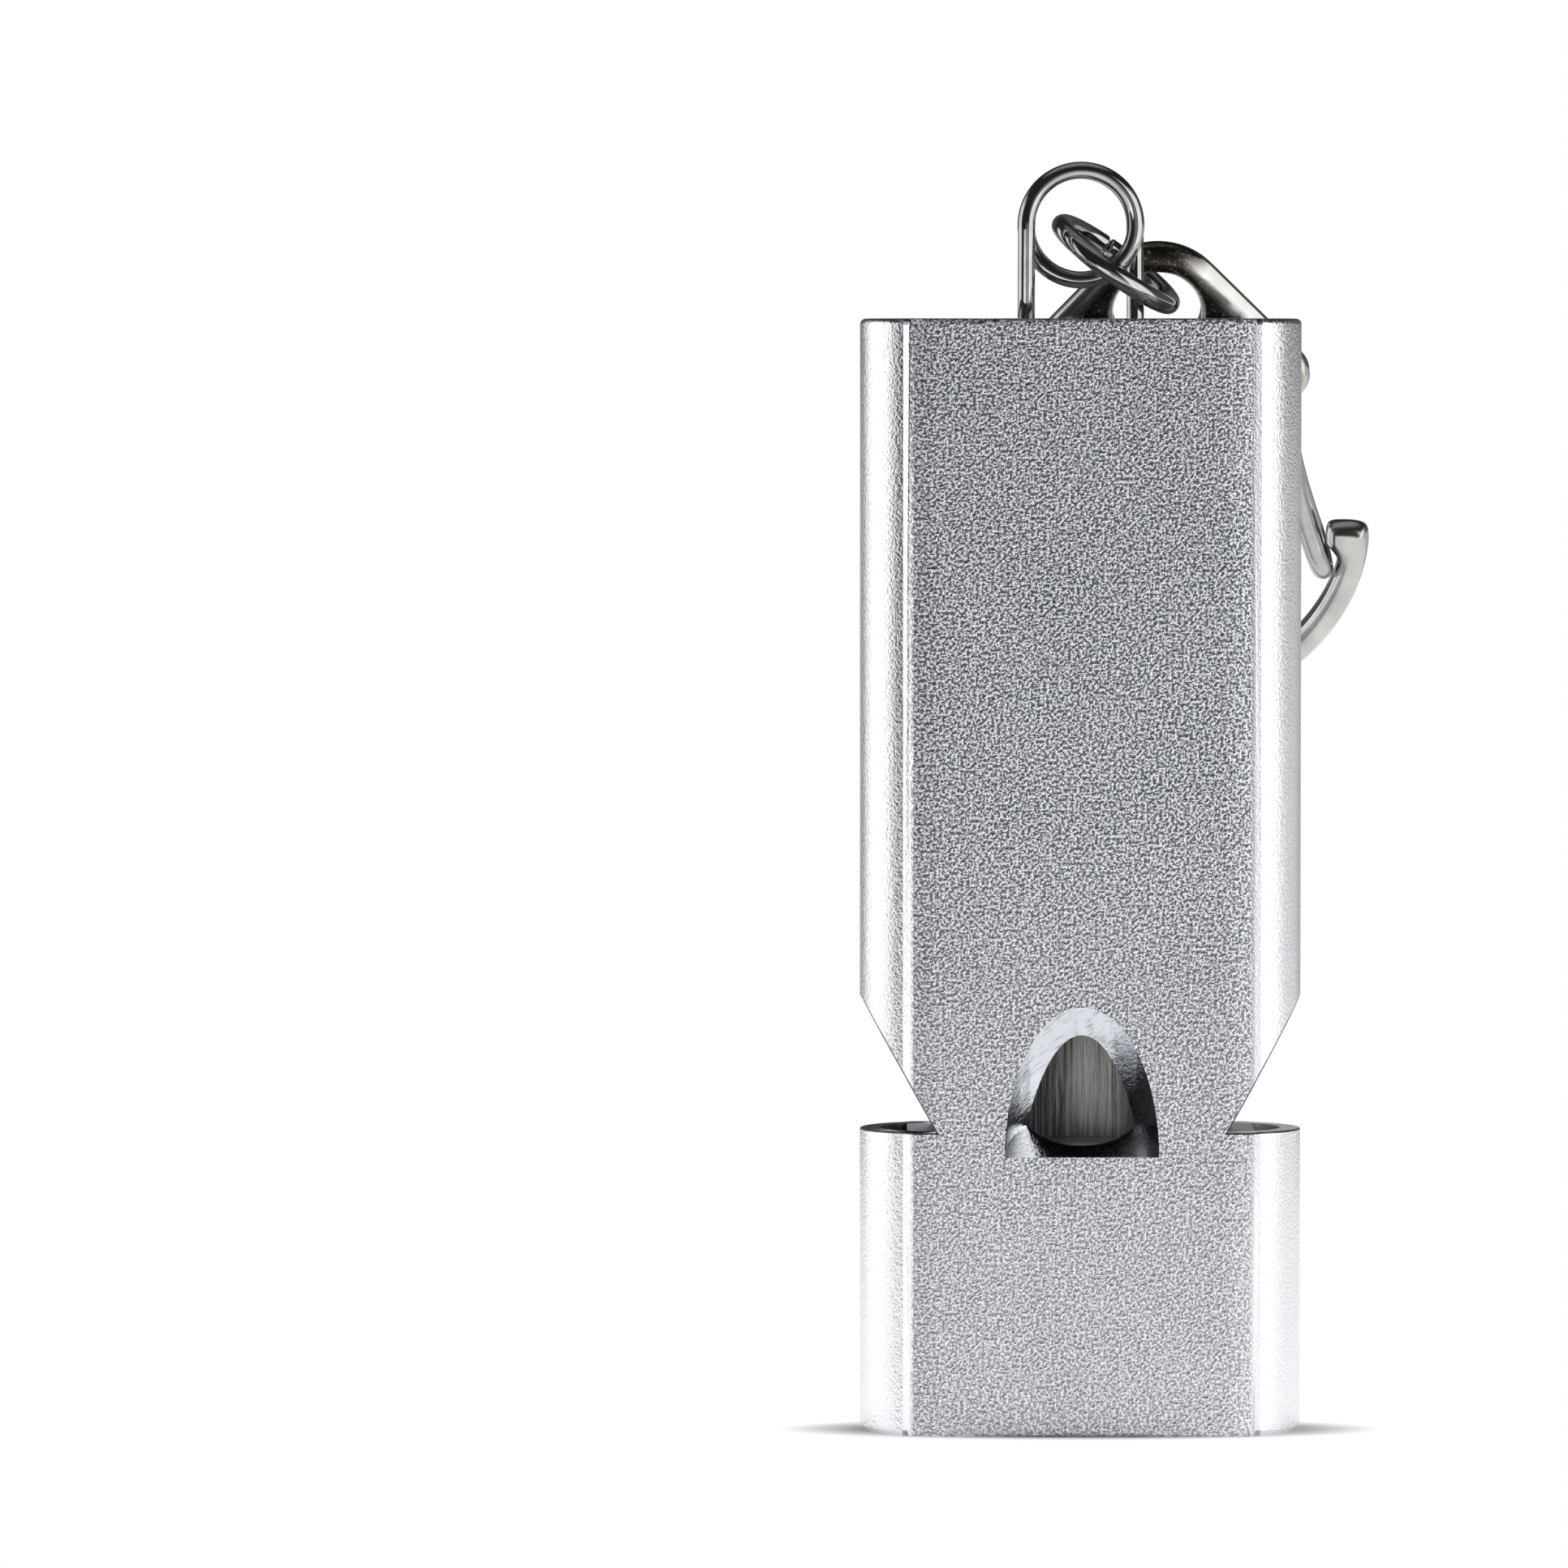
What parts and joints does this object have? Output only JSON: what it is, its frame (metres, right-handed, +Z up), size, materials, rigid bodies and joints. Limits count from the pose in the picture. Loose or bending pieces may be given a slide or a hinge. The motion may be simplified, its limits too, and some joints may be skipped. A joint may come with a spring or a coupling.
{
  "type": "survival whistle",
  "caption": "Flat aluminium whistle with side-by-side tubes, an arched window, side notches, and a wire loop, ring and sprung hook at the top.",
  "frame": {"origin": "middle of the mouthpiece end face", "axes": "+Z up along the tubes to the wire loop, +X to the right seen from the window side, +Y to the back, where the hook hangs"},
  "size_m": [0.0257, 0.0188, 0.0627],
  "materials": {
    "blasted_aluminium": "bead-blasted, clear anodised",
    "turned_aluminium": "turned bar",
    "plated_wire": "polished nickel plating",
    "plated_casting": "nickel plating over a casting"
  },
  "bodies": {
    "whistle": {"whistle_body": "blasted_aluminium", "left_windway_block": "turned_aluminium", "centre_windway_block": "turned_aluminium", "right_windway_block": "turned_aluminium", "left_end_stopper": "turned_aluminium", "centre_end_stopper": "turned_aluminium", "right_end_stopper": "turned_aluminium", "hanger_wire": "plated_wire"},
    "ring": {"jump_ring": "plated_wire"},
    "hook": {"hook_body": "plated_casting"},
    "gate": {"gate_wire": "plated_wire"}
  },
  "joints": [
    {"name": "ring_swing", "type": "hinge", "parent": "whistle", "child": "ring", "pos_m": [0.00159, -0.00013, 0.05742], "axis": [0.809, 0, -0.5878], "range_deg": [0, 20]},
    {"name": "hook_swing", "type": "hinge", "parent": "ring", "child": "hook", "pos_m": [0.00389, 0.00432, 0.05661], "axis": [0.507, -0.6984, -0.5051], "range_deg": [0, 60]},
    {"name": "gate_pivot", "type": "hinge", "parent": "hook", "child": "gate", "pos_m": [0.01017, 0.0063, 0.0523], "axis": [0, 0.9093, 0.4161], "range_deg": [0, 25], "stiffness_Nm_per_rad": 0.005, "springref_deg": -5.73}
  ]
}
